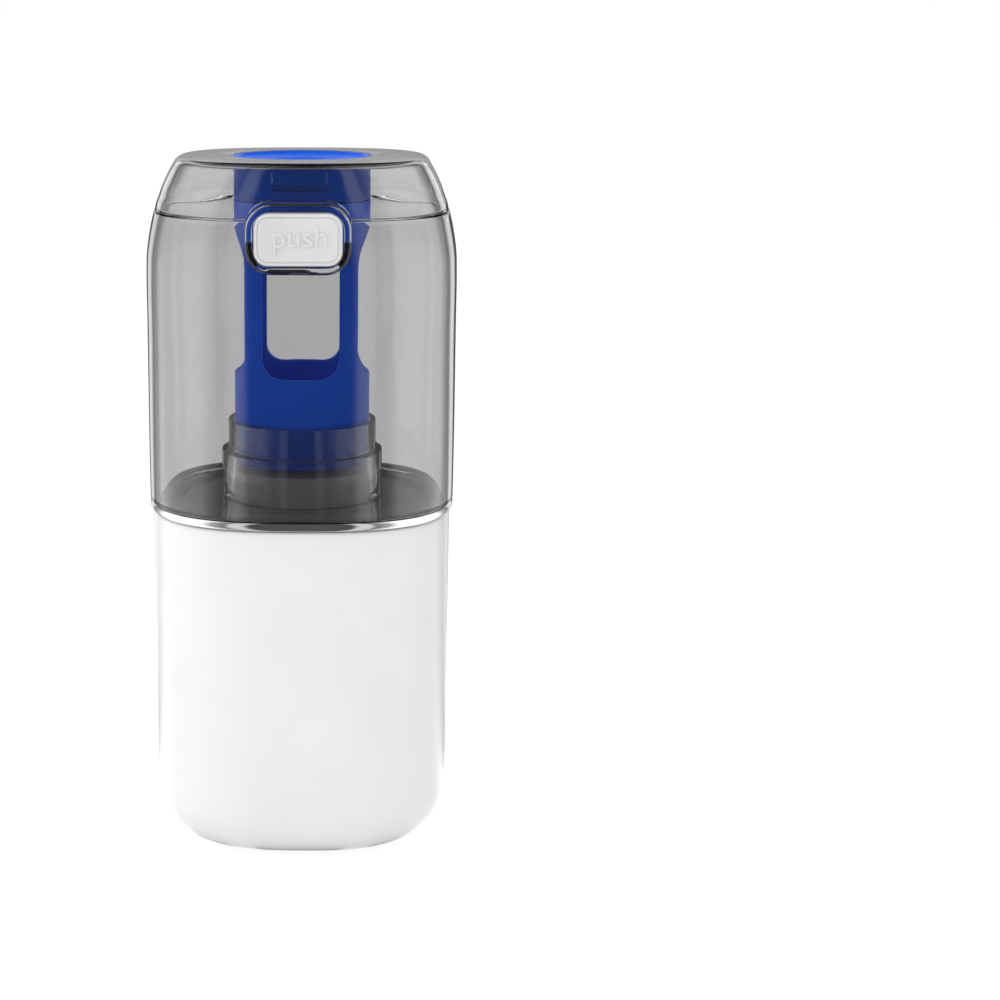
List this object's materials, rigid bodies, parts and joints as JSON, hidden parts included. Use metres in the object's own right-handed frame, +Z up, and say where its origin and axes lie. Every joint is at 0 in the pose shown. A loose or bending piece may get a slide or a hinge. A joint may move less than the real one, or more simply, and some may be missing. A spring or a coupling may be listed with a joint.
{
  "type": "battery pencil sharpener",
  "caption": "Upright battery pencil sharpener with a white base, smoke-clear shavings bin, hinged lid with push button, and a turning blue cutter cage.",
  "frame": {"origin": "centre of the plan outline, on the table plane under the rubber feet", "axes": "+Z up along the cutter axis, +X to the right, the push button faces -Y"},
  "size_m": [0.075, 0.0784, 0.1685],
  "materials": {
    "white_plastic": "glossy moulded",
    "white_gear": "moulded",
    "blue_plastic": "satin moulded",
    "blue_funnel": "glossy moulded",
    "smoke_clear": "smoke-tinted clear plastic",
    "button_plastic": "satin",
    "grey_plastic": "moulded",
    "steel": "bright",
    "brass": "bright",
    "rubber": "matt",
    "cell_wrap": "printed sleeve"
  },
  "bodies": {
    "base": {"base_housing": "white_plastic", "battery_tray": "grey_plastic", "top_contacts": "steel", "cell_front_left": "cell_wrap", "cell_front_right": "cell_wrap", "cell_rear_left": "cell_wrap", "cell_rear_right": "cell_wrap", "rubber_feet": "rubber", "base_deck": "grey_plastic", "output_bush": "brass", "gear_plate": "grey_plastic", "gear_screws": "steel", "motor_can": "steel", "motor_end_cap": "grey_plastic", "motor_terminals": "brass", "start_switch": "grey_plastic", "idler_axle": "steel"},
    "bottom_door": {"battery_door": "white_plastic", "door_springs": "steel"},
    "idler": {"idler_gear": "white_gear"},
    "rotor": {"motor_rotor": "steel", "motor_pinion": "brass"},
    "cutter": {"output_gear": "white_gear", "drive_shaft": "steel", "cutter_cage": "blue_plastic", "cutter_block": "grey_plastic", "cutter_blade": "steel", "blade_screw": "brass"},
    "bin": {"reservoir_shell": "smoke_clear", "neck_collar": "smoke_clear", "button_bezel": "smoke_clear", "button_guide": "smoke_clear", "hinge_pin": "steel", "button_spring": "steel"},
    "button": {"press_button": "button_plastic"},
    "lid": {"lid_shell": "smoke_clear", "pencil_funnel": "blue_funnel"}
  },
  "joints": [
    {"name": "cutter_spin", "type": "hinge", "parent": "base", "child": "cutter", "pos_m": [0, 0, 0.09], "axis": [0, 0, 1], "continuous": true},
    {"name": "idler_spin", "type": "hinge", "parent": "base", "child": "idler", "pos_m": [0.01224, -0.01582, 0.072], "axis": [0, 0, 1], "continuous": true},
    {"name": "motor_spin", "type": "hinge", "parent": "base", "child": "rotor", "pos_m": [0, -0.0245, 0.06], "axis": [0, 0, 1], "continuous": true},
    {"name": "bin_lift", "type": "slide", "parent": "base", "child": "bin", "axis": [0, 0, 1], "range_m": [0, 0.09]},
    {"name": "lid_hinge", "type": "hinge", "parent": "bin", "child": "lid", "pos_m": [0, 0.0369, 0.1558], "axis": [-1, 0, 0], "range_deg": [0, 100]},
    {"name": "button_press", "type": "slide", "parent": "bin", "child": "button", "axis": [0, 1, 0], "range_m": [0, 0.0015], "stiffness_N_per_m": 900, "springref_m": -0.001, "deforming": ["button_spring"]},
    {"name": "door_hinge", "type": "hinge", "parent": "base", "child": "bottom_door", "pos_m": [0, 0.0179, 0.002], "axis": [1, 0, 0], "range_deg": [0, 95]}
  ],
  "couplings": [
    {"joint": "idler_spin", "follows": "cutter_spin", "ratio": -4},
    {"joint": "motor_spin", "follows": "cutter_spin", "ratio": 16}
  ]
}
